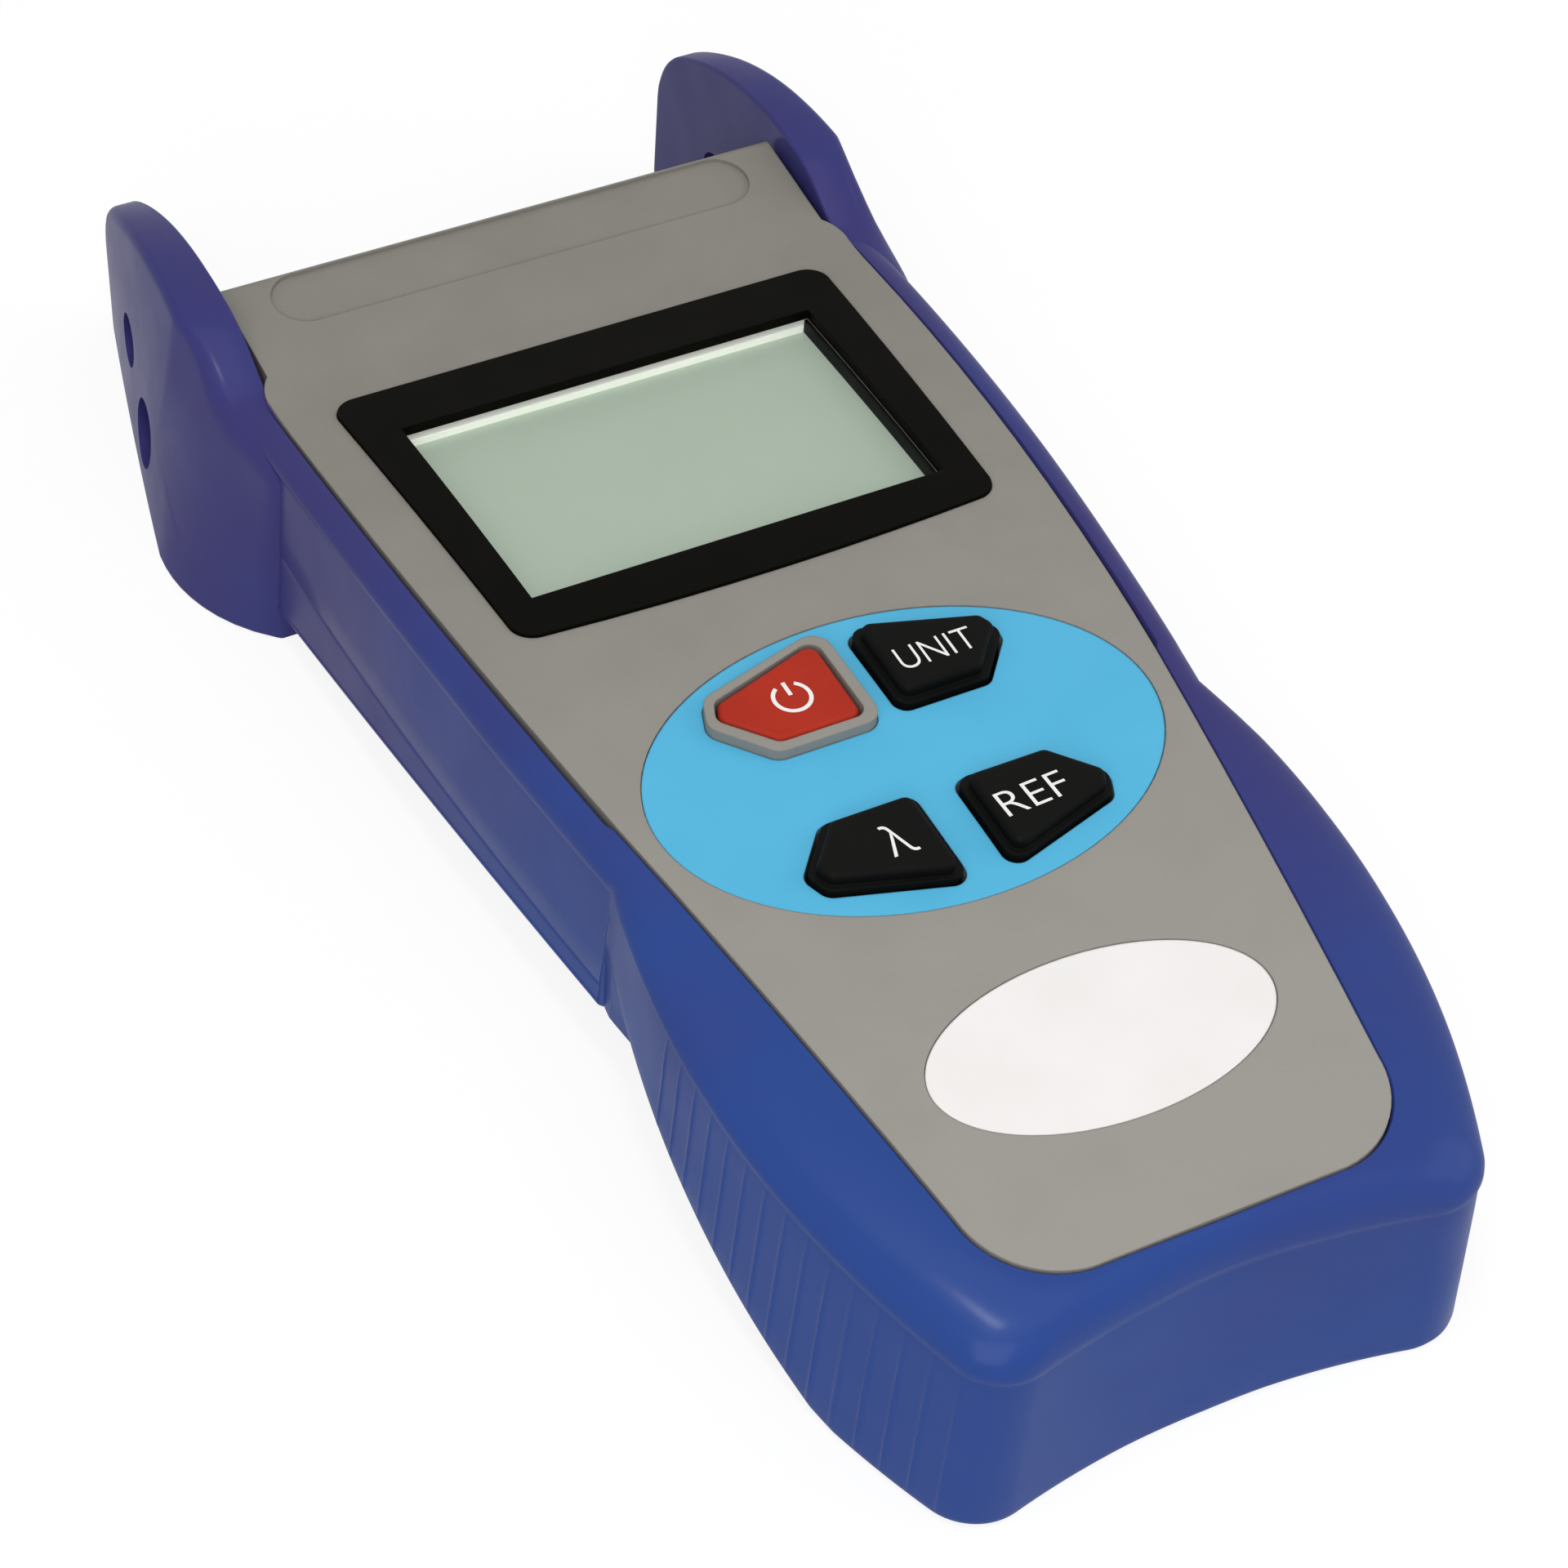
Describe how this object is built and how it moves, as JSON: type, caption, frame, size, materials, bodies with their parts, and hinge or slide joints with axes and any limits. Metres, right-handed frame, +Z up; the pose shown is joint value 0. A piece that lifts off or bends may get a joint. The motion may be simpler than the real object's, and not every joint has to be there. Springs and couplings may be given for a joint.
{
  "type": "optical power meter",
  "caption": "Handheld fibre optic power meter with a display, four keys and an optical port, in a rubber holster with two ears that shield the port.",
  "frame": {"origin": "middle of the footprint on the table the meter lies on", "axes": "+Z up through the display, +Y from the foot towards the optical port between the ears, +X to the right of the display"},
  "size_m": [0.089, 0.183, 0.0299],
  "materials": {
    "grey_housing": "fine satin moulded grey",
    "blue_rubber": "satin blue-violet elastomer",
    "black_frame": "gloss black",
    "clear_pane": "clear",
    "white_carrier": "white moulded",
    "lcd": "grey-green reflective liquid crystal",
    "light_blue_film": "light blue printed film",
    "red_key": "dark red silicone",
    "black_key": "black silicone",
    "switch_metal": "bright",
    "circuit_board": "green solder resist",
    "steel": "bright",
    "white_label": "white film",
    "nickel_port": "nickel plated",
    "cap_rubber": "soft black",
    "black_plastic": "black moulded",
    "cell_jacket": "dark printed jacket"
  },
  "bodies": {
    "meter": {"front_shell": "grey_housing", "rear_shell": "grey_housing", "rubber_boot": "blue_rubber", "display_bezel": "black_frame", "display_window": "clear_pane", "display_frame": "white_carrier", "lcd_panel": "lcd", "backlight": "white_carrier", "keypad_overlay": "light_blue_film", "key_switches": "switch_metal", "key_board": "circuit_board", "main_board": "circuit_board", "key_board_screws": "steel", "main_board_screws": "steel", "oval_label": "white_label", "housing_screws": "steel", "optical_port": "nickel_port", "photodiode": "steel", "power_socket": "black_plastic", "battery_1": "cell_jacket", "battery_2": "cell_jacket", "battery_3": "cell_jacket", "contact_plates": "steel", "battery_springs": "steel"},
    "power_key_body": {"power_key": "red_key"},
    "unit_key_body": {"unit_key": "black_key"},
    "wavelength_key_body": {"wavelength_key": "black_key"},
    "reference_key_body": {"reference_key": "black_key"},
    "battery_door_body": {"battery_door": "grey_housing"},
    "port_cap_body": {"port_cap": "cap_rubber"}
  },
  "joints": [
    {"name": "power_key_press", "type": "slide", "parent": "meter", "child": "power_key_body", "axis": [0, 0, -1], "range_m": [0, 0.0008], "stiffness_N_per_m": 600, "springref_m": -0.0005},
    {"name": "unit_key_press", "type": "slide", "parent": "meter", "child": "unit_key_body", "axis": [0, 0, -1], "range_m": [0, 0.0008], "stiffness_N_per_m": 600, "springref_m": -0.0005},
    {"name": "wavelength_key_press", "type": "slide", "parent": "meter", "child": "wavelength_key_body", "axis": [0, 0, -1], "range_m": [0, 0.0008], "stiffness_N_per_m": 600, "springref_m": -0.0005},
    {"name": "reference_key_press", "type": "slide", "parent": "meter", "child": "reference_key_body", "axis": [0, 0, -1], "range_m": [0, 0.0008], "stiffness_N_per_m": 600, "springref_m": -0.0005},
    {"name": "battery_door_hinge", "type": "hinge", "parent": "meter", "child": "battery_door_body", "pos_m": [0, -0.066, 0.003], "axis": [-1, 0, 0], "range_deg": [0, 100]},
    {"name": "port_cap_pull", "type": "slide", "parent": "meter", "child": "port_cap_body", "axis": [0, 1, 0], "range_m": [0, 0.03]}
  ]
}
